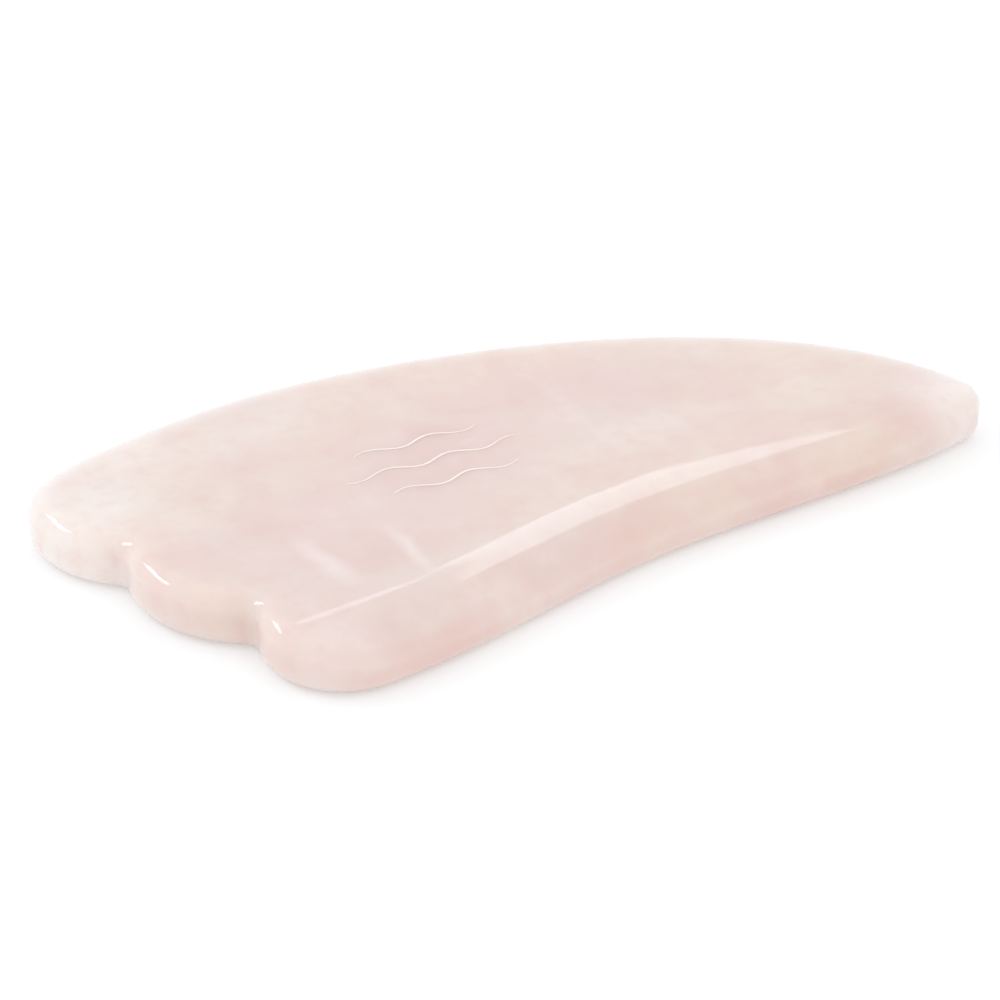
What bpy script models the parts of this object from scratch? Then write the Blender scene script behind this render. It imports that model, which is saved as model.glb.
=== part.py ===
"""Gua sha scraper: one plate of polished stone with a three-lobed comb end, a long convex back, a thinner
working edge and a blunt tip. Three wavy lines are engraved in its top face, each with its own pale filling.

Metres, +Z up. The origin is the middle of the plate's box, on the face that it rests on. +X runs from the
comb end to the tip, and +Y towards the convex back."""

import math

import bmesh
import bpy

# Overall sizes
LENGTH = 0.1164
WIDTH = 0.0609
THICKNESS = 0.007

# Comb end: two full lobes and a corner lobe, with a small round valley between each two
FIRST_LOBE_RADIUS = 0.0138
SECOND_LOBE_RADIUS = 0.0158
CORNER_LOBE_RADIUS = 0.0096
VALLEY_RADIUS = 0.0027
FIRST_LOBE_DROP = 0.0156  # centre of the first lobe below the top of the back
SECOND_LOBE_INSET = 0.0053  # its crest, in from the comb end
CORNER_LOBE_INSET = 0.0125
SECOND_LOBE_RAISE = 0.0012  # above the middle of its two neighbours
FIRST_LOBE_START = math.radians(162)  # where the back runs into the first lobe

# Back, tip and working edge
CREST_X = -0.0212
TIP_RADIUS = 0.003
TIP_Y = -0.0135
TIP_START = math.radians(-72)
TIP_END = math.radians(10)
WAIST_X = 0.0023
WAIST_Y = -0.0224
WAIST_HEADING = math.radians(10)
EDGE_START_HEADING = math.radians(5)
BACK_REACH = (0.0256, 0.0402)  # lengths of the curve's handles, from the tip and from the crest
SHOULDER_REACH = (0.0079, 0.007)
HEEL_REACH = (0.0136, 0.013)
BELLY_REACH = (0.0186, 0.0148)

# Rounded rim, and the slope ground along the working edge
RIM_RADIUS = 0.0022
RIDGE_X = -0.014  # where the ridge, an S in plan, crosses from its comb level to its tip level
RIDGE_Y = -0.0172
RIDGE_SWING = 0.005  # from RIDGE_Y to each level
RIDGE_REACH = 0.0195
RIDGE_ROUNDING = 0.013  # radius with which the flat top turns into the slope
GRIND_SLOPE = 0.58  # the steepest, at GRIND_X
GRIND_X = 0.008
GRIND_AT_COMB = 0.3  # shares of that slope left at the two ends
GRIND_AT_TIP = 0.5

# Engraved ornament: three waves, one above the other
ORNAMENT_X = -0.0113
ORNAMENT_Y = 0.0027
WAVE_NAMES = ("lower", "middle", "upper")
WAVE_LENGTHS = (0.017, 0.024, 0.017)
WAVE_PITCH = 0.0052
WAVE_HEIGHT = 0.0013
WAVE_PERIOD = 0.0085
GROOVE_WIDTH = 0.0004
GROOVE_DEPTH = 0.0003
FILLING_GAP = 0.00005
END_TAPER = 0.4  # share of the width that is left at a wave's ends

# Fineness of the mesh
ARC_STEP = math.radians(9)
CURVE_STEPS = 14
WAVE_STEPS = 40
GRIND_ROWS = 18
GRIND_COLUMNS = 18
RIM_RESOLUTION = 2
MERGE = 0.000001


def arc(centre, radius, start, end):
    """Points along an arc, both ends included. It turns left when end is above start."""
    steps = max(2, math.ceil(abs(end - start) / ARC_STEP))
    angles = [start + (end - start) * k / steps for k in range(steps + 1)]
    return [polar(centre, radius, angle) for angle in angles]


def polar(centre, radius, angle):
    return centre[0] + radius * math.cos(angle), centre[1] + radius * math.sin(angle)


def angle_to(start, end):
    return math.atan2(end[1] - start[1], end[0] - start[0])


def sweep(start, heading, end, end_heading, reach):
    """Points along a smooth curve that leaves start at one heading and arrives at end at another."""
    handle_a = polar(start, reach[0], heading)
    handle_b = polar(end, -reach[1], end_heading)
    points = []
    for k in range(1, CURVE_STEPS):
        t = k / CURVE_STEPS
        shares = ((1 - t) ** 3, 3 * (1 - t) ** 2 * t, 3 * (1 - t) * t**2, t**3)
        corners = (start, handle_a, handle_b, end)
        points.append(tuple(sum(s * c[axis] for s, c in zip(shares, corners)) for axis in (0, 1)))
    return points


def valley_centre(first, first_radius, second, second_radius):
    """Centre of the round valley that touches two lobes from outside, on the comb end's side."""
    reach_a = first_radius + VALLEY_RADIUS
    reach_b = second_radius + VALLEY_RADIUS
    apart = math.dist(first, second)
    turn = math.acos((reach_a**2 + apart**2 - reach_b**2) / (2 * reach_a * apart))
    return polar(first, reach_a, angle_to(first, second) - turn)


def unwind(angle, above):
    """The same angle, in the turn that starts at above."""
    return above + (angle - above) % math.tau


def comb_end():
    """Points from the back's end round the three lobes and their two valleys to the working edge."""
    comb_x = -LENGTH / 2
    first = (comb_x + FIRST_LOBE_RADIUS, WIDTH / 2 - FIRST_LOBE_DROP)
    corner = (comb_x + CORNER_LOBE_INSET + CORNER_LOBE_RADIUS, CORNER_LOBE_RADIUS - WIDTH / 2)
    second_y = (first[1] + corner[1]) / 2 + SECOND_LOBE_RAISE
    second = (comb_x + SECOND_LOBE_INSET + SECOND_LOBE_RADIUS, second_y)
    upper = valley_centre(first, FIRST_LOBE_RADIUS, second, SECOND_LOBE_RADIUS)
    lower = valley_centre(second, SECOND_LOBE_RADIUS, corner, CORNER_LOBE_RADIUS)
    points = lobe(first, FIRST_LOBE_RADIUS, FIRST_LOBE_START, angle_to(first, upper))
    points += valley(upper, first, second)
    points += lobe(second, SECOND_LOBE_RADIUS, angle_to(second, upper), angle_to(second, lower))
    points += valley(lower, second, corner)
    edge_start = math.radians(270) + EDGE_START_HEADING
    points += lobe(corner, CORNER_LOBE_RADIUS, angle_to(corner, lower), edge_start)
    return points


def lobe(centre, radius, start, end):
    start = unwind(start, 0)
    return arc(centre, radius, start, unwind(end, start))


def valley(centre, above, below):
    """Points between two lobes' ends, which the lobes hold already."""
    start = unwind(angle_to(centre, above), 0)
    end = unwind(angle_to(centre, below), start - math.tau)
    return arc(centre, VALLEY_RADIUS, start, end)[1:-1]


def outline():
    """The plate's outline seen from above, anticlockwise from the tip."""
    tip = arc((LENGTH / 2 - TIP_RADIUS, TIP_Y), TIP_RADIUS, TIP_START, TIP_END)
    crest = (CREST_X, WIDTH / 2)
    comb = comb_end()
    waist = (WAIST_X, WAIST_Y)
    quarter = math.radians(90)
    points = list(tip)
    points += sweep(tip[-1], TIP_END + quarter, crest, math.pi, BACK_REACH)
    points.append(crest)
    points += sweep(crest, math.pi, comb[0], FIRST_LOBE_START + quarter, SHOULDER_REACH)
    points += comb
    points += sweep(comb[-1], EDGE_START_HEADING, waist, WAIST_HEADING, HEEL_REACH)
    points.append(waist)
    points += sweep(waist, WAIST_HEADING, tip[0], TIP_START + quarter, BELLY_REACH)
    return points


def wave(length, y, inset):
    """Outline of one wavy line, thickest in the middle, drawn in by inset on every side."""
    reach = length / 2 - inset
    rate = math.tau / WAVE_PERIOD
    upper, lower = [], []
    for k in range(WAVE_STEPS + 1):
        u = reach * (2 * k / WAVE_STEPS - 1)
        taper = END_TAPER + (1 - END_TAPER) * math.cos(math.pi / 2 * u / reach)
        half = GROOVE_WIDTH / 2 * taper - inset
        across = math.atan(WAVE_HEIGHT / 2 * rate * math.cos(rate * u)) + math.radians(90)
        centre = (ORNAMENT_X + u, y + WAVE_HEIGHT / 2 * math.sin(rate * u))
        upper.append(polar(centre, half, across))
        lower.append(polar(centre, -half, across))
    return lower + upper[::-1]


def ground_away(x, y):
    """How much of the thickness the slope along the working edge takes at a place."""
    past = RIDGE_Y + RIDGE_SWING * math.tanh((x - RIDGE_X) / RIDGE_REACH) - y
    if past <= 0:
        return 0
    share = GRIND_AT_COMB if x < GRIND_X else GRIND_AT_TIP
    end = abs(x - GRIND_X) / (LENGTH / 2)
    slope = GRIND_SLOPE * (1 - (1 - share) * min(end, 1) ** 2)
    turn = slope * RIDGE_ROUNDING
    if past < turn:
        return past**2 / (2 * RIDGE_ROUNDING)
    return slope * (past - turn / 2)


def flat_solid(name, points, thickness, middle, rim, collection):
    """A mesh object made from a filled flat outline, with a rounded rim where rim isn't 0."""
    curve = bpy.data.curves.new(name, "CURVE")
    curve.dimensions = "2D"
    curve.fill_mode = "BOTH"
    curve.extrude = thickness / 2 - rim
    curve.bevel_depth = rim
    curve.bevel_resolution = RIM_RESOLUTION
    curve.offset = -rim
    line = curve.splines.new("POLY")
    line.points.add(len(points) - 1)
    for point, (x, y) in zip(line.points, points):
        point.co = (x, y, 0, 1)
    line.use_cyclic_u = True
    drawn = bpy.data.objects.new(name + "_outline", curve)
    collection.objects.link(drawn)
    drawn.location.z = middle
    bpy.context.view_layer.update()
    graph = bpy.context.evaluated_depsgraph_get()
    mesh = bpy.data.meshes.new_from_object(drawn.evaluated_get(graph))
    weld(mesh)
    solid = bpy.data.objects.new(name, mesh)
    solid.matrix_world = drawn.matrix_world
    collection.objects.link(solid)
    bpy.data.objects.remove(drawn)
    return solid


def weld(mesh):
    work = bmesh.new()
    work.from_mesh(mesh)
    bmesh.ops.remove_doubles(work, verts=work.verts, dist=MERGE)
    bmesh.ops.recalc_face_normals(work, faces=work.faces)
    work.to_mesh(mesh)
    work.free()


def grind(plate):
    """Slices the plate's top face along its length and across it, then lowers it to the ground slope."""
    work = bmesh.new()
    work.from_mesh(plate.data)
    half = THICKNESS / 2
    top = [face for face in work.faces if face.calc_center_median().z > half - MERGE]
    bmesh.ops.dissolve_faces(work, faces=top)
    low = -WIDTH / 2
    ground = RIDGE_Y + RIDGE_SWING - low
    for k in range(1, GRIND_ROWS + 1):
        slice_top(work, half, (0, low + ground * k / GRIND_ROWS, 0), (0, 1, 0))
    for k in range(1, GRIND_COLUMNS):
        slice_top(work, half, ((k / GRIND_COLUMNS - 0.5) * LENGTH, 0, 0), (1, 0, 0))
    for vert in work.verts:
        left = 1 - ground_away(vert.co.x, vert.co.y) / THICKNESS
        vert.co.z = (vert.co.z + half) * left - half
    bmesh.ops.triangulate(work, faces=work.faces)
    work.to_mesh(plate.data)
    work.free()


def slice_top(work, half, place, normal):
    faces = [face for face in work.faces if face.calc_center_median().z > half - MERGE]
    edges = {edge for face in faces for edge in face.edges}
    verts = {vert for face in faces for vert in face.verts}
    geometry = faces + list(edges) + list(verts)
    bmesh.ops.bisect_plane(work, geom=geometry, dist=MERGE, plane_co=place, plane_no=normal)


def finish(name, colour, roughness, weight=0.0):
    """A stone or enamel finish. weight is how much light passes just under its skin."""
    material = bpy.data.materials.new(name)
    material.use_nodes = True
    shader = material.node_tree.nodes["Principled BSDF"]
    shader.inputs["Base Color"].default_value = (*colour, 1)
    shader.inputs["Roughness"].default_value = roughness
    shader.inputs["Metallic"].default_value = 0
    shader.inputs["Subsurface Weight"].default_value = weight
    return material


def shade(solid):
    solid.data.shade_smooth()
    solid.data.set_sharp_from_angle(angle=math.radians(30))


def wave_row(index):
    return ORNAMENT_Y + (index - (len(WAVE_NAMES) - 1) / 2) * WAVE_PITCH


def stone_plate(collection, cutters):
    plate = flat_solid("stone_plate", outline(), THICKNESS, THICKNESS / 2, RIM_RADIUS, collection)
    grind(plate)
    shade(plate)
    plate.data.materials.append(finish("rose_stone", (0.80, 0.57, 0.52), 0.12, 0.3))
    for index, name in enumerate(WAVE_NAMES):
        points = wave(WAVE_LENGTHS[index], wave_row(index), 0)
        cutter = flat_solid(f"wave_groove_{name}", points, 2 * GROOVE_DEPTH, THICKNESS, 0, cutters)
        cutter.hide_render = True
        cutter.display_type = "WIRE"
        cut = plate.modifiers.new(f"groove_{name}", "BOOLEAN")
        cut.operation = "DIFFERENCE"
        cut.object = cutter
    return plate


def wave_fillings(collection):
    enamel = finish("pale_enamel", (0.90, 0.82, 0.74), 0.4)
    height = GROOVE_DEPTH - 2 * FILLING_GAP
    for index, name in enumerate(WAVE_NAMES):
        points = wave(WAVE_LENGTHS[index], wave_row(index), FILLING_GAP)
        middle = THICKNESS - GROOVE_DEPTH / 2
        filling = flat_solid(f"wave_filling_{name}", points, height, middle, 0, collection)
        filling.data.materials.append(enamel)


def clear_scene():
    for leftover in list(bpy.data.objects):
        bpy.data.objects.remove(leftover)


def main():
    clear_scene()
    scraper = bpy.data.collections.new("gua_sha_scraper")
    cutters = bpy.data.collections.new("cutters")
    bpy.context.scene.collection.children.link(scraper)
    bpy.context.scene.collection.children.link(cutters)
    stone_plate(scraper, cutters)
    wave_fillings(scraper)


main()
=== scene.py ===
"""Looks of a gua sha scraper, one plate of polished rose stone with three wavy lines of paint on its top.

Metres, +Z up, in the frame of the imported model. The plate lies on its flat face, with its comb end at -X and
its working edge at -Y."""

import math

import bpy
from bpy.props import FloatProperty, FloatVectorProperty, IntProperty, PointerProperty
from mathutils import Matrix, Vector


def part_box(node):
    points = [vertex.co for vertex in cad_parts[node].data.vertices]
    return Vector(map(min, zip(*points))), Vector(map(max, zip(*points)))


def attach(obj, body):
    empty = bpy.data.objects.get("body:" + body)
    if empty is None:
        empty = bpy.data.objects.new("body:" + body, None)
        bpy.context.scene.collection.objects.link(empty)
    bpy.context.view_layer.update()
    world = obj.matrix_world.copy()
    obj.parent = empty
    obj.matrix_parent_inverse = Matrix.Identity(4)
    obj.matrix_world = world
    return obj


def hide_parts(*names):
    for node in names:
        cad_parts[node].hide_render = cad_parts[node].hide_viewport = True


bl_info = {
    "name": "Gua Sha Scraper",
    "version": (1, 0, 0),
    "blender": (4, 5, 0),
    "location": "3D View > Sidebar > Scraper",
    "description": "Models a polished stone scraper with a comb end, a thinned edge and a painted ornament",
    "category": "Object",
}

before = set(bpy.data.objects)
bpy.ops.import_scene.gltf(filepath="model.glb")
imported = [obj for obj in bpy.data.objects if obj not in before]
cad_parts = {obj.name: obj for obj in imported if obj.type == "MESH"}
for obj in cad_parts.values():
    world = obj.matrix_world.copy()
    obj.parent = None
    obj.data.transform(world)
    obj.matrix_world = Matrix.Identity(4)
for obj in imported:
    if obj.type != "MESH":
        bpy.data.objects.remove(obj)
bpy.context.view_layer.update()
PLATE_LOW, PLATE_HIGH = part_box("stone_plate")
WAVE_NAMES = ("lower", "middle", "upper")

MM = 0.001
QUARTER = math.radians(90)
HALF_TURN = math.radians(180)
WHITE = (1, 1, 1, 1)


# Properties


class PlateSizes(bpy.types.PropertyGroup):
    """Outline, rim and ground edge of the plate."""

    length: FloatProperty(
        name="Length",
        description="From the comb end to the tip",
        default=PLATE_HIGH.x - PLATE_LOW.x,
        unit="LENGTH",
    )
    width: FloatProperty(
        name="Width",
        description="From the working edge's lowest point to the top of the back",
        default=PLATE_HIGH.y - PLATE_LOW.y,
        unit="LENGTH",
    )
    thickness: FloatProperty(
        name="Thickness",
        description="Of the plate away from the ground edge",
        default=PLATE_HIGH.z - PLATE_LOW.z,
        unit="LENGTH",
    )
    first_lobe: FloatProperty(
        name="First lobe",
        description="Radius of the lobe next to the back",
        default=0.0138,
        unit="LENGTH",
    )
    second_lobe: FloatProperty(
        name="Second lobe",
        description="Radius of the middle lobe",
        default=0.0158,
        unit="LENGTH",
    )
    corner_lobe: FloatProperty(
        name="Corner lobe",
        description="Radius of the lobe next to the working edge",
        default=0.0096,
        unit="LENGTH",
    )
    valley: FloatProperty(
        name="Valley",
        description="Radius of the valleys between the lobes",
        default=0.0027,
        unit="LENGTH",
    )
    tip: FloatProperty(
        name="Tip",
        description="Radius of the plate's blunt tip in plan",
        default=0.003,
        unit="LENGTH",
    )
    rim: FloatProperty(
        name="Rim",
        description="Radius of the rounded rim, above and below",
        default=0.0022,
        unit="LENGTH",
    )
    rim_segments: IntProperty(
        name="Rim segments",
        description="Faces across the rounding of the rim",
        default=10,
        min=2,
    )
    slope: FloatProperty(
        name="Ground slope",
        description="Steepest fall of the ground edge, as height lost over distance",
        default=0.58,
    )
    ridge: FloatProperty(
        name="Ridge",
        description="Radius with which the flat top turns into the ground slope",
        default=0.013,
        unit="LENGTH",
    )


class StoneColours(bpy.types.PropertyGroup):
    """Colours of the stone's clouds and veins."""

    body: FloatVectorProperty(
        name="Body",
        description="Milky rose of the stone's body",
        default=(0.755, 0.635, 0.595),
        size=3,
        subtype="COLOR",
        min=0,
        max=1,
    )
    cream: FloatVectorProperty(
        name="Cream",
        description="Pale clear stone of the outer lobe and the wisps",
        default=(0.85, 0.79, 0.765),
        size=3,
        subtype="COLOR",
        min=0,
        max=1,
    )
    tan: FloatVectorProperty(
        name="Tan",
        description="Yellow stain",
        default=(0.77, 0.65, 0.58),
        size=3,
        subtype="COLOR",
        min=0,
        max=1,
    )
    mauve: FloatVectorProperty(
        name="Mauve",
        description="Pink clouds",
        default=(0.75, 0.56, 0.53),
        size=3,
        subtype="COLOR",
        min=0,
        max=1,
    )
    rust: FloatVectorProperty(
        name="Rust",
        description="Small reddish flecks and stains",
        default=(0.72, 0.51, 0.47),
        size=3,
        subtype="COLOR",
        min=0,
        max=1,
    )
    # Painted light: a pale colour along the back that stands for light coming through the thin rounded rim
    painted_back_light: FloatVectorProperty(
        name="Haze",
        description="Pale light that comes through the rounded back",
        default=(0.815, 0.81, 0.83),
        size=3,
        subtype="COLOR",
        min=0,
        max=1,
    )


class PaintSettings(bpy.types.PropertyGroup):
    """Lines and colours of the painted ornament."""

    line: FloatProperty(
        name="Line",
        description="Width of a line of paint in its middle",
        default=0.00028,
        unit="LENGTH",
    )
    height: FloatProperty(
        name="Height",
        description="From the underside of the paint to its top",
        default=0.00002,
        unit="LENGTH",
    )
    pale: FloatVectorProperty(
        name="Pale",
        description="Cream of the paint's pale streaks",
        default=(0.98, 0.9, 0.83),
        size=3,
        subtype="COLOR",
        min=0,
        max=1,
    )
    warm: FloatVectorProperty(
        name="Warm",
        description="Deeper cream between the pale streaks",
        default=(0.96, 0.85, 0.77),
        size=3,
        subtype="COLOR",
        min=0,
        max=1,
    )


class StageSettings(bpy.types.PropertyGroup):
    """Floor, lights and camera."""

    azimuth: FloatProperty(
        name="Azimuth",
        description="Direction in plan from the plate to the camera",
        default=math.radians(-120),
        subtype="ANGLE",
    )
    height_angle: FloatProperty(
        name="Height angle",
        description="Of the camera above the floor",
        default=math.radians(29.3),
        subtype="ANGLE",
    )
    distance: FloatProperty(
        name="Distance",
        description="From the camera to the point that it looks at",
        default=0.3681,
        unit="LENGTH",
    )
    lens: FloatProperty(
        name="Lens",
        description="Focal length in millimetres",
        default=108,
    )
    glow: FloatProperty(
        name="Glow",
        description="Light that the floor itself gives out",
        default=0.3,
    )
    ambient: FloatProperty(
        name="Ambient",
        description="Strength of the even white light from all round",
        default=1.0,
    )


# Outline of the plate

FIRST_LOBE_DROP = 0.0156  # centre of the first lobe below the top of the back
SECOND_LOBE_INSET = 0.0053  # from the comb end's furthest point to the lobe's own
CORNER_LOBE_INSET = 0.0125
SECOND_LOBE_RAISE = 0.0012  # above the middle of its two neighbours
FIRST_LOBE_START = math.radians(162)  # where the back runs into the first lobe
CREST_X = -0.0212  # where the back is highest
TIP_Y = -0.0135  # centre of the tip's arc
TIP_START = math.radians(-72)
TIP_END = math.radians(10)
WAIST = (0.0023, -0.0224)  # a point on the hollow working edge
WAIST_HEADING = math.radians(10)
EDGE_START_HEADING = math.radians(5)
# Lengths of each curve's two handles, in the order in which the outline runs
BACK_REACH = (0.0256, 0.0402)  # tip to crest
SHOULDER_REACH = (0.0079, 0.007)  # crest to first lobe
HEEL_REACH = (0.0136, 0.013)  # corner lobe to waist
BELLY_REACH = (0.0186, 0.0148)  # waist to tip
ARC_STEP = math.radians(3)
CURVE_STEPS = 56


def polar(centre, radius, angle):
    return centre[0] + radius * math.cos(angle), centre[1] + radius * math.sin(angle)


def arc(centre, radius, start, end):
    """Points along an arc, both ends included."""
    steps = max(2, math.ceil(abs(end - start) / ARC_STEP))
    angles = [start + (end - start) * k / steps for k in range(steps + 1)]
    return [polar(centre, radius, angle) for angle in angles]


def angle_to(start, end):
    return math.atan2(end[1] - start[1], end[0] - start[0])


def unwind(angle, above):
    """The same angle, in the turn that starts at above."""
    return above + (angle - above) % math.tau


def sweep(start, heading, end, end_heading, reach):
    """Points along a smooth curve that leaves start at one heading and arrives at end at another."""
    corners = (start, polar(start, reach[0], heading), polar(end, -reach[1], end_heading), end)
    points = []
    for k in range(1, CURVE_STEPS):
        t = k / CURVE_STEPS
        shares = ((1 - t) ** 3, 3 * (1 - t) ** 2 * t, 3 * (1 - t) * t**2, t**3)
        points.append(tuple(sum(s * c[axis] for s, c in zip(shares, corners)) for axis in (0, 1)))
    return points


def valley_centre(first, first_radius, second, second_radius, radius):
    """Centre of the round valley that touches two lobes from outside, on the comb end's side."""
    reach_a = first_radius + radius
    reach_b = second_radius + radius
    apart = math.dist(first, second)
    turn = math.acos((reach_a**2 + apart**2 - reach_b**2) / (2 * reach_a * apart))
    return polar(first, reach_a, angle_to(first, second) - turn)


def lobe(centre, radius, start, end):
    """Points along an arc that turns anticlockwise from start to end."""
    start = unwind(start, 0)
    return arc(centre, radius, start, unwind(end, start))


def valley(centre, radius, above, below):
    """Points between two lobes' ends, which the lobes hold already."""
    start = unwind(angle_to(centre, above), 0)
    end = unwind(angle_to(centre, below), start - math.tau)
    return arc(centre, radius, start, end)[1:-1]


def comb_end(sizes):
    """Points from the back's end round the three lobes and their two valleys to the working edge."""
    comb_x = -sizes.length / 2
    top = sizes.width / 2
    first = (comb_x + sizes.first_lobe, top - FIRST_LOBE_DROP)
    corner = (comb_x + CORNER_LOBE_INSET + sizes.corner_lobe, sizes.corner_lobe - top)
    second_y = (first[1] + corner[1]) / 2 + SECOND_LOBE_RAISE
    second = (comb_x + SECOND_LOBE_INSET + sizes.second_lobe, second_y)
    upper = valley_centre(first, sizes.first_lobe, second, sizes.second_lobe, sizes.valley)
    lower = valley_centre(second, sizes.second_lobe, corner, sizes.corner_lobe, sizes.valley)
    points = lobe(first, sizes.first_lobe, FIRST_LOBE_START, angle_to(first, upper))
    points += valley(upper, sizes.valley, first, second)
    points += lobe(second, sizes.second_lobe, angle_to(second, upper), angle_to(second, lower))
    points += valley(lower, sizes.valley, second, corner)
    edge_start = 3 * QUARTER + EDGE_START_HEADING
    return points + lobe(corner, sizes.corner_lobe, angle_to(corner, lower), edge_start)


def plate_outline(sizes):
    """The plate's outline seen from above, anticlockwise from the tip."""
    tip = arc((sizes.length / 2 - sizes.tip, TIP_Y), sizes.tip, TIP_START, TIP_END)
    crest = (CREST_X, sizes.width / 2)
    comb = comb_end(sizes)
    points = list(tip)
    points += sweep(tip[-1], TIP_END + QUARTER, crest, HALF_TURN, BACK_REACH)
    points.append(crest)
    points += sweep(crest, HALF_TURN, comb[0], FIRST_LOBE_START + QUARTER, SHOULDER_REACH)
    points += comb
    points += sweep(comb[-1], EDGE_START_HEADING, WAIST, WAIST_HEADING, HEEL_REACH)
    points.append(WAIST)
    points += sweep(WAIST, WAIST_HEADING, tip[0], TIP_START + QUARTER, BELLY_REACH)
    return points


# Slope ground along the working edge

RIDGE_X = -0.014  # where the ridge, an S in plan, crosses from its comb level to its tip level
RIDGE_Y = -0.0172
RIDGE_SWING = 0.005  # from RIDGE_Y to each level
RIDGE_REACH = 0.0195  # how gently it crosses
GRIND_X = 0.008  # where the slope is steepest
GRIND_AT_COMB = 0.3  # shares of that slope left at the two ends
GRIND_AT_TIP = 0.5
ROW_STEP = 0.0005  # between the cuts that let the flat top bend
COLUMN_STEP = 0.002
TOP_MARGIN = 0.0003  # from the rim's rounding to the ends of the cuts


def ground_away(sizes, x, y):
    """How much of the thickness the slope along the working edge takes at a place."""
    past = RIDGE_Y + RIDGE_SWING * math.tanh((x - RIDGE_X) / RIDGE_REACH) - y
    if past <= 0:
        return 0
    share = GRIND_AT_COMB if x < GRIND_X else GRIND_AT_TIP
    end = abs(x - GRIND_X) / (sizes.length / 2)
    slope = sizes.slope * (1 - (1 - share) * min(end, 1) ** 2)
    turn = slope * sizes.ridge
    if past < turn:
        return past**2 / (2 * sizes.ridge)
    return slope * (past - turn / 2)


# Painted ornament

ORNAMENT = (-0.0113, 0.0027)  # its middle
WAVE_LENGTHS = (0.017, 0.024, 0.017)
WAVE_PITCH = 0.0052  # between neighbouring lines
WAVE_HEIGHT = 0.0013  # from the bottoms of a line's bends to their tops
WAVE_PERIOD = 0.0085
PAINT_GAP = 0.000002  # keeps the paint clear of the stone
PAINT_EDGE = 0.000008  # rounding of the paint's upper edge
PAINT_EDGE_SEGMENTS = 2
END_TAPER = 0.4  # share of a line's width that is left at its ends
WAVE_STEPS = 40


def wave_row(index):
    """How far towards the back one line of the ornament lies."""
    return ORNAMENT[1] + (index - (len(WAVE_LENGTHS) - 1) / 2) * WAVE_PITCH


def wave(length, y, width):
    """Outline of one wavy line, widest in the middle."""
    reach = length / 2
    rate = math.tau / WAVE_PERIOD
    upper, lower = [], []
    for k in range(WAVE_STEPS + 1):
        u = reach * (2 * k / WAVE_STEPS - 1)
        taper = END_TAPER + (1 - END_TAPER) * math.cos(QUARTER * u / reach)
        half = width / 2 * taper
        across = math.atan(WAVE_HEIGHT / 2 * rate * math.cos(rate * u)) + QUARTER
        centre = (ORNAMENT[0] + u, y + WAVE_HEIGHT / 2 * math.sin(rate * u))
        upper.append(polar(centre, half, across))
        lower.append(polar(centre, -half, across))
    return lower + upper[::-1]


# Modelling helpers

UPRIGHT = 0.5  # a face whose normal rises by more than this looks up
SMOOTH_ANGLE = math.radians(30)


def deselect_all():
    if bpy.context.mode != "OBJECT":
        bpy.ops.object.mode_set(mode="OBJECT")
    bpy.ops.object.select_all(action="DESELECT")


def flat_face(name, points, height):
    """A filled outline at a height: a round face whose corners are moved to the points."""
    deselect_all()
    bpy.ops.mesh.primitive_circle_add(vertices=len(points), fill_type="NGON", location=(0, 0, 0))
    face = bpy.context.object
    face.name = name
    face.data.name = name
    for vertex, (x, y) in zip(face.data.vertices, points):
        vertex.co = (x, y, height)
    return face


def select_faces(piece, test):
    """Leaves the piece in edit mode, with only the faces selected that pass the test."""
    bpy.ops.object.mode_set(mode="EDIT")
    bpy.ops.mesh.select_mode(type="FACE")
    bpy.ops.mesh.select_all(action="DESELECT")
    bpy.ops.object.mode_set(mode="OBJECT")
    for polygon in piece.data.polygons:
        polygon.select = test(polygon)
    bpy.ops.object.mode_set(mode="EDIT")


def thicken(piece, height):
    """Pulls the piece's one face up into a solid."""
    select_faces(piece, lambda polygon: True)
    bpy.ops.mesh.extrude_region_move(TRANSFORM_OT_translate={"value": (0, 0, height)})
    bpy.ops.mesh.select_all(action="SELECT")
    bpy.ops.mesh.normals_make_consistent(inside=False)


def round_loop(radius, segments):
    """Rounds the edges round the selected faces."""
    bpy.ops.mesh.region_to_loop()
    bpy.ops.mesh.bevel(offset=radius, segments=segments, profile=0.5, affect="EDGES")


def round_rim(piece, sizes):
    """Rounds the plate's upper and lower edges."""
    select_faces(piece, lambda polygon: abs(polygon.normal.z) > UPRIGHT)
    round_loop(sizes.rim, sizes.rim_segments)


def slice_top(piece, sizes):
    """Cuts the flat top into rows and columns that are fine enough to bend."""
    wide = sizes.width * sizes.length / 4  # less than the flat top's area, more than any other upper face's
    select_faces(piece, lambda polygon: polygon.normal.z > UPRIGHT and polygon.area > wide)
    bpy.ops.mesh.inset(thickness=TOP_MARGIN)
    bpy.ops.mesh.hide(unselected=True)
    rows = math.ceil((RIDGE_Y + RIDGE_SWING + sizes.width / 2) / ROW_STEP)
    for k in range(1, rows + 1):
        slice_across((0, k * ROW_STEP - sizes.width / 2, 0), (0, 1, 0))
    columns = round(sizes.length / COLUMN_STEP)
    for k in range(1, columns):
        slice_across((k * COLUMN_STEP - sizes.length / 2, 0, 0), (1, 0, 0))
    bpy.ops.mesh.reveal(select=False)
    bpy.ops.object.mode_set(mode="OBJECT")


def slice_across(place, normal):
    bpy.ops.mesh.select_all(action="SELECT")
    bpy.ops.mesh.bisect(plane_co=place, plane_no=normal)


def grind(piece, sizes):
    """Lowers the plate to the slope along its working edge."""
    for vertex in piece.data.vertices:
        vertex.co.z *= 1 - ground_away(sizes, vertex.co.x, vertex.co.y) / sizes.thickness


def smooth(piece):
    deselect_all()
    piece.select_set(True)
    bpy.context.view_layer.objects.active = piece
    bpy.ops.object.shade_smooth_by_angle(angle=SMOOTH_ANGLE)


# Materials

STIR_DETAIL = 3
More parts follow.
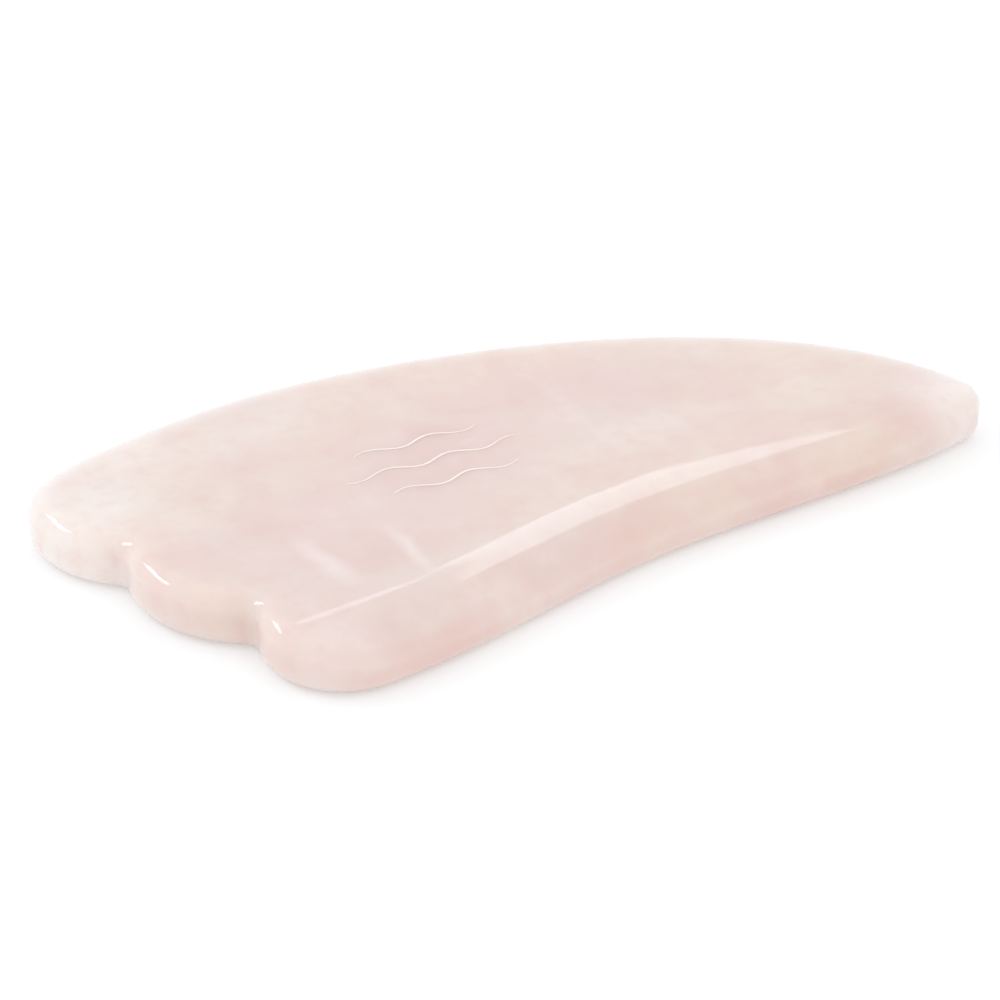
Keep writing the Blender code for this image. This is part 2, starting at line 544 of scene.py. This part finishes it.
# Sockets of the Mix node that a mix of colours uses, by number because its others have the same names
MIX_SHARE = 0
MIX_FIRST = 6
MIX_SECOND = 7
MIX_RESULT = 2


class Value:
    """An output socket. Arithmetic on it adds Math nodes."""

    def __init__(self, nodes, socket):
        self.nodes = nodes
        self.socket = socket

    def math(self, operation, *terms):
        return self.nodes.add("Math", {"operation": operation}, dict(enumerate(terms)))

    def larger(self, other):
        return self.math("MAXIMUM", self, other)

    def __add__(self, other):
        return self.math("ADD", self, other)

    def __mul__(self, other):
        return self.math("MULTIPLY", self, other)

    __radd__ = __add__
    __rmul__ = __mul__


class Finish:
    """A material's nodes, with one shader that the finish is set on."""

    def __init__(self, name):
        self.material = bpy.data.materials.new(name)
        self.material.use_nodes = True
        self.tree = self.material.node_tree
        self.shader = self.tree.nodes["Principled BSDF"]

    def add(self, kind, settings, sockets, output=0):
        """Adds a node, its settings first and then its sockets, and gives one of its outputs."""
        node = self.tree.nodes.new("ShaderNode" + kind)
        for setting, value in settings.items():
            setattr(node, setting, value)
        for key, value in sockets.items():
            self.feed(node.inputs[key], value)
        return Value(self, node.outputs[output])

    def feed(self, socket, value):
        if isinstance(value, Value):
            self.tree.links.new(value.socket, socket)
        else:
            socket.default_value = value

    def set(self, sockets):
        """Sets or links sockets of the shader."""
        for key, value in sockets.items():
            self.feed(self.shader.inputs[key], value)

    def place(self):
        """The place on the piece, in millimetres."""
        place = self.add("TexCoord", {}, {}, "Object")
        return self.add("VectorMath", {"operation": "SCALE"}, {"Vector": place, "Scale": 1 / MM})

    def noise(self, place, size, detail, roughness=0.5, output=0):
        """Soft clouds, size millimetres apart."""
        sockets = {"Vector": place, "Scale": 1 / size, "Detail": detail, "Roughness": roughness}
        return self.add("TexNoise", {}, sockets, output)

    def between(self, value, low, high):
        """0 below low, 1 above high, smooth between them. High may be the lower one."""
        sockets = {"Value": value, "From Min": low, "From Max": high}
        return self.add("MapRange", {"interpolation_type": "SMOOTHSTEP"}, sockets)

    def mix(self, share, first, second):
        """A colour that goes from the first to the second as share goes from 0 to 1."""
        first = first if isinstance(first, Value) else (*first, 1)
        second = second if isinstance(second, Value) else (*second, 1)
        sockets = {MIX_SHARE: share, MIX_FIRST: first, MIX_SECOND: second}
        return self.add("Mix", {"data_type": "RGBA"}, sockets, MIX_RESULT)

    def stir(self, place, size, amount):
        """The place, pushed about by clouds so that patches get ragged outlines."""
        clouds = self.noise(place, size, STIR_DETAIL, output="Color")
        centred = self.add("VectorMath", {"operation": "SUBTRACT"}, {0: clouds, 1: (0.5, 0.5, 0.5)})
        push = self.add("VectorMath", {"operation": "SCALE"}, {0: centred, "Scale": amount})
        return self.add("VectorMath", {"operation": "ADD"}, {0: place, 1: push})

    def patch(self, place, centre, reach, turn):
        """1 at a centre, falling to 0 at an oval's edge, in millimetres and radians."""
        settings = {"vector_type": "TEXTURE"}
        sockets = {"Vector": place, "Location": centre, "Rotation": (0, 0, turn), "Scale": reach}
        local = self.add("Mapping", settings, sockets)
        away = self.add("VectorMath", {"operation": "LENGTH"}, {0: local}, "Value")
        return self.between(away, 1, 0)


# Clouds of the stone, some under its patches and some over them: colour, size in millimetres, detail,
# roughness, cloud levels at which the colour starts and is full, strength
BROAD_CLOUDS = (
    ("tan", 26, 4, 0.5, (0.4, 0.65), 1.0),
    ("mauve", 18, 4, 0.6, (0.5, 0.7), 0.5),
)
FINE_CLOUDS = (
    ("rust", 7, 5, 0.55, (0.5, 0.75), 0.3),
    ("cream", 7, 5, 0.55, (0.5, 0.25), 0.2),
    ("mauve", 2.2, 3, 0.5, (0.45, 0.75), 0.3),
)
DEEP = 12  # reach up and down, in millimetres, which takes in the whole thickness
# Patches of the stone: colour, centre and reach in millimetres, turn in degrees, strength
PATCHES = (
    ("cream", (-54, 11, 3), (16, 18, DEEP), 0, 0.9),
    ("tan", (-43, 7, 3), (10, 9, DEEP), 20, 0.9),
    ("cream", (-42, 20, 3), (15, 8, DEEP), 35, 0.6),
    ("cream", (-28, 20, 3), (16, 9, DEEP), 20, 0.3),
    ("mauve", (-32, -3, 3), (11, 9, DEEP), 0, 0.8),
    ("mauve", (-12, 5, 3), (25, 18, DEEP), 0, 1.0),
    ("rust", (-9, 8, 3), (5, 4, DEEP), 0, 0.45),
    ("rust", (-15, 14, 3), (6, 3, DEEP), 20, 0.35),
    ("mauve", (15, 10, 3), (20, 11, DEEP), -15, 0.8),
    ("rust", (28, 9, 3), (9, 3, DEEP), -20, 0.3),
    ("cream", (14, -4, 3), (18, 6, DEEP), 8, 0.3),
    ("mauve", (23, 2, 3), (9, 5, DEEP), 0, 0.4),
    ("tan", (40, 4, 3), (16, 9, DEEP), -25, 0.8),
    ("mauve", (-24, -12, 3), (18, 10, DEEP), 12, 0.8),
    ("rust", (-27, -17, 3), (9, 5, DEEP), 0, 0.5),
    ("rust", (41, -12, 3), (8, 4, DEEP), 5, 0.7),
    ("cream", (53, -14, 3), (9, 9, DEEP), 0, 0.9),
    ("rust", (28, -19, 1), (24, 5, 4), 3, 0.7),
    ("mauve", (-4, -22, 3), (24, 6, DEEP), 8, 0.6),
    ("cream", (-21, -26, 3), (8, 3, DEEP), 10, 0.35),
    ("mauve", (-40, -24, 2), (14, 9, DEEP), 0, 0.5),
    ("cream", (-41, -26, 4), (8, 4, DEEP), 0, 0.4),
    ("rust", (-28, -30, 2), (19, 4, DEEP), 5, 0.6),
)
PATCH_STIR = (14, 9)  # size of the clouds that stir the patches, and how far they push, in millimetres
# Wisps of pale stone: centre and reach in millimetres, turn in degrees
WISPS = (
    ((-33.8, -12.7, 6), (2.2, 9, DEEP), 6),
    ((-24.5, -15, 6), (1.6, 8, DEEP), -2),
)
WISP_STIR = (8, 3.5)  # as for the patches
WISP_STRENGTH = 0.5
# Painted light along the back: pale ovals that stand for light coming through the thin rounded rim
PAINTED_LIGHT_FROM = 30  # corners of the outline that the painted back light runs between
PAINTED_LIGHT_TO = 136
PAINTED_LIGHT_STEP = 6  # corners from one oval of haze to the next
PAINTED_LIGHT_REACH = (14, 5, DEEP)  # of one oval: along the back, across it, and up and down
PAINTED_LIGHT_STRENGTH = 0.65

# Surface of the stone: clouds as size in millimetres and detail, the rest as the shader takes it
POLISH_CLOUDS = (1.4, 4)
POLISH_LEVELS = (0.3, 0.7)
BEST_POLISH = 0.05  # roughness where the polish is best
POLISH_LOSS = 0.05  # how much rougher the stone is where the polish is worst
WAVINESS_CLOUDS = (9, 1)
WAVINESS = {"Strength": 0.06, "Distance": 0.0006}
STONE_IOR = 1.54
GLOW_WEIGHT = 0.9  # share of the light that goes into the stone and comes out again
GLOW_DEPTH = 0.005  # how far that light spreads, in metres
GLOW_REACH = (1.0, 0.85, 0.8)  # shares of that depth for red, green and blue

# Surface of the paint, in the same terms
STREAKS = (0.6, 3)
STREAK_LEVELS = (0.35, 0.7)
PAINT_ROUGHNESS = 0.4
STREAK_ROUGHNESS = 0.2  # how much rougher the paint is where a streak is full
PAINT_BUMP = {"Strength": 0.3, "Distance": 0.00005}


def painted_back_light_ovals(sizes):
    """Centres and turns of the ovals of painted light that follow the back, in millimetres and radians."""
    points = plate_outline(sizes)
    back = points[PAINTED_LIGHT_FROM : PAINTED_LIGHT_TO + 1]
    patches = []
    for k in range(0, len(back) - 1, PAINTED_LIGHT_STEP):
        centre = (back[k][0] / MM, back[k][1] / MM, sizes.thickness / MM)
        patches.append((centre, angle_to(back[k + 1], back[k])))
    return patches


def add_clouds(stone, colours, colour, place, clouds):
    """The colour with layers of clouds over it."""
    for name, size, detail, roughness, levels, strength in clouds:
        share = stone.between(stone.noise(place, size, detail, roughness), *levels)
        colour = stone.mix(share * strength, colour, getattr(colours, name))
    return colour


def add_patches(stone, colours, colour, place):
    """The colour with the large patches over it, and their outlines made ragged."""
    stirred = stone.stir(place, *PATCH_STIR)
    for name, centre, reach, turn, strength in PATCHES:
        share = stone.patch(stirred, centre, reach, math.radians(turn))
        colour = stone.mix(share * strength, colour, getattr(colours, name))
    return colour


def add_wisps(stone, colours, colour, place):
    """The colour with the thin pale wisps over it."""
    stirred = stone.stir(place, *WISP_STIR)
    for centre, reach, turn in WISPS:
        share = stone.patch(stirred, centre, reach, math.radians(turn))
        colour = stone.mix(share * WISP_STRENGTH, colour, colours.cream)
    return colour


def add_painted_back_light(stone, colours, colour, place, sizes):
    """The colour with painted light along the back over it: a pale colour that stands for light coming through
    the thin rounded rim.
    """
    share = 0.0
    for centre, turn in painted_back_light_ovals(sizes):
        share = stone.patch(place, centre, PAINTED_LIGHT_REACH, turn).larger(share)
    return stone.mix(share * PAINTED_LIGHT_STRENGTH, colour, colours.painted_back_light)


def stone_finish(colours, sizes):
    """Polished rose quartz: milky, with clouds, stains, wisps and a few flecks, and painted light along its
    back.
    """
    stone = Finish("rose_quartz")
    place = stone.place()
    colour = add_clouds(stone, colours, colours.body, place, BROAD_CLOUDS)
    colour = add_patches(stone, colours, colour, place)
    colour = add_clouds(stone, colours, colour, place, FINE_CLOUDS)
    colour = add_wisps(stone, colours, colour, place)
    # Painted light: a pale colour along the back for light that comes through the thin rim
    colour = add_painted_back_light(stone, colours, colour, place, sizes)
    loss = stone.between(stone.noise(place, *POLISH_CLOUDS), *POLISH_LEVELS)
    waves = stone.noise(place, *WAVINESS_CLOUDS)
    bump = stone.add("Bump", {}, {**WAVINESS, "Height": waves})
    stone.set({"Base Color": colour, "Roughness": BEST_POLISH + POLISH_LOSS * loss, "Normal": bump})
    stone.set({"Subsurface Weight": GLOW_WEIGHT, "Subsurface Scale": GLOW_DEPTH})
    stone.set({"Subsurface Radius": GLOW_REACH, "IOR": STONE_IOR})
    return stone.material


def paint_finish(colours):
    """Cream filling paint, matt and a little uneven."""
    paint = Finish("cream_paint")
    streaks = paint.noise(paint.place(), *STREAKS)
    colour = paint.mix(paint.between(streaks, *STREAK_LEVELS), colours.pale, colours.warm)
    bump = paint.add("Bump", {}, {**PAINT_BUMP, "Height": streaks})
    roughness = PAINT_ROUGHNESS + STREAK_ROUGHNESS * streaks
    paint.set({"Base Color": colour, "Roughness": roughness, "Normal": bump})
    return paint.material


# Pieces


class SCRAPER_OT_stone(bpy.types.Operator):
    """Models the stone plate with its comb end, rounded rim and ground edge"""

    bl_idname = "scraper.stone"
    bl_label = "Stone plate"

    def execute(self, context):
        sizes = context.scene.scraper_plate
        stone = flat_face("scraper_stone", plate_outline(sizes), 0)
        thicken(stone, sizes.thickness)
        round_rim(stone, sizes)
        slice_top(stone, sizes)
        grind(stone, sizes)
        smooth(stone)
        stone.data.materials.append(stone_finish(context.scene.scraper_stone, sizes))
        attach(stone, "root")
        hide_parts("stone_plate")
        return {"FINISHED"}


class SCRAPER_OT_paint(bpy.types.Operator):
    """Models the three lines of paint, each a thin film on the stone's top, rounded at its upper edge"""

    bl_idname = "scraper.paint"
    bl_label = "Ornament paint"

    def execute(self, context):
        ornament = context.scene.scraper_paint
        paint = paint_finish(ornament)
        bottom = context.scene.scraper_plate.thickness + PAINT_GAP
        for index, name in enumerate(WAVE_NAMES):
            points = wave(WAVE_LENGTHS[index], wave_row(index), ornament.line)
            filling = flat_face(f"wave_paint_{name}", points, bottom)
            thicken(filling, ornament.height)
            select_faces(filling, lambda polygon: polygon.normal.z > UPRIGHT)
            round_loop(PAINT_EDGE, PAINT_EDGE_SEGMENTS)
            smooth(filling)
            filling.data.materials.append(paint)
            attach(filling, "root")
            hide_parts(f"wave_filling_{name}")
        return {"FINISHED"}


# Stage

FLOOR_SIZE = 6
FLOOR_DROP = 0.00005  # keeps the floor clear of the plate's flat underside
FLOOR_COLOUR = (0.7, 0.7, 0.7, 1)
FLOOR_ROUGHNESS = 0.9
DAYLIGHT = (0.72, 0.9, 1.0)
LOOK_AT = Vector((-0.0034, 0.0007, 0))
# Lamps: azimuth and height angle in degrees, distance, size, power in watts, roll in degrees. The first two
# are rolled so that their reflection runs along the ridge.
LAMPS = {
    "ridge_light": (45.5, 43.6, 0.6, (0.265, 0.08), 0.12, -43),
    "tail_light": (61.8, 42.2, 0.6, (0.06, 0.06), 0.016, -43),
    "lobe_light": (134, 37, 0.6, (0.34, 0.09), 0.6, 0),
    "top_light": (-60, 80, 0.9, (0.9, 0.9), 0.3, 0),
}


def aim(thing, target):
    thing.rotation_euler = (target - thing.location).to_track_quat("-Z", "Y").to_euler()


def toward(azimuth, height_angle):
    flat = math.cos(height_angle)
    return Vector((flat * math.cos(azimuth), flat * math.sin(azimuth), math.sin(height_angle)))


def soft_box(name, azimuth, height_angle, distance, size, power, roll):
    """A rectangular lamp that faces the plate, turned about its own axis by roll."""
    deselect_all()
    place = LOOK_AT + toward(math.radians(azimuth), math.radians(height_angle)) * distance
    bpy.ops.object.light_add(type="AREA", location=place)
    box = bpy.context.object
    box.name = name
    box.data.shape = "RECTANGLE"
    box.data.size, box.data.size_y = size
    box.data.energy = power
    box.data.color = DAYLIGHT
    aim(box, LOOK_AT)
    box.rotation_euler.rotate_axis("Z", math.radians(roll))


class SCRAPER_OT_stage(bpy.types.Operator):
    """Sets up the floor, the lights and the camera"""

    bl_idname = "scraper.stage"
    bl_label = "Studio"

    def execute(self, context):
        stage = context.scene.scraper_stage
        deselect_all()
        bpy.ops.mesh.primitive_plane_add(size=FLOOR_SIZE, location=(0, 0, -FLOOR_DROP))
        floor = context.object
        floor.name = "floor"
        paper = Finish("white_paper")
        paper.set({"Base Color": FLOOR_COLOUR, "Roughness": FLOOR_ROUGHNESS, "Specular IOR Level": 0})
        paper.set({"Emission Color": WHITE, "Emission Strength": stage.glow})
        floor.data.materials.append(paper.material)
        world = context.scene.world or bpy.data.worlds.new("studio")
        context.scene.world = world
        world.use_nodes = True
        background = world.node_tree.nodes["Background"]
        background.inputs["Color"].default_value = WHITE
        background.inputs["Strength"].default_value = stage.ambient
        for name, settings in LAMPS.items():
            soft_box(name, *settings)
        place = LOOK_AT + toward(stage.azimuth, stage.height_angle) * stage.distance
        bpy.ops.object.camera_add(location=place)
        camera = context.object
        camera.data.lens = stage.lens
        aim(camera, LOOK_AT)
        context.scene.camera = camera
        context.scene.view_settings.view_transform = "Standard"
        return {"FINISHED"}


# Panel and registration


class SCRAPER_PT_panel(bpy.types.Panel):
    """Buttons for the pieces and the studio"""

    bl_label = "Gua Sha Scraper"
    bl_space_type = "VIEW_3D"
    bl_region_type = "UI"
    bl_category = "Scraper"

    def draw(self, context):
        for group in GROUPS:
            settings = getattr(context.scene, group)
            column = self.layout.column()
            for name in settings.__annotations__:
                column.prop(settings, name)
        for operator in OPERATORS:
            self.layout.operator(operator.bl_idname)


OPERATORS = (SCRAPER_OT_stone, SCRAPER_OT_paint, SCRAPER_OT_stage)
GROUPS = {
    "scraper_plate": PlateSizes,
    "scraper_stone": StoneColours,
    "scraper_paint": PaintSettings,
    "scraper_stage": StageSettings,
}


def register():
    for kind in (*GROUPS.values(), *OPERATORS, SCRAPER_PT_panel):
        bpy.utils.register_class(kind)
    for name, group in GROUPS.items():
        setattr(bpy.types.Scene, name, PointerProperty(type=group))


def unregister():
    for name in GROUPS:
        delattr(bpy.types.Scene, name)
    for kind in (SCRAPER_PT_panel, *OPERATORS, *GROUPS.values()):
        bpy.utils.unregister_class(kind)


def main():
    register()
    bpy.ops.scraper.stone()
    bpy.ops.scraper.paint()
    bpy.ops.scraper.stage()


if __name__ == "__main__":
    main()
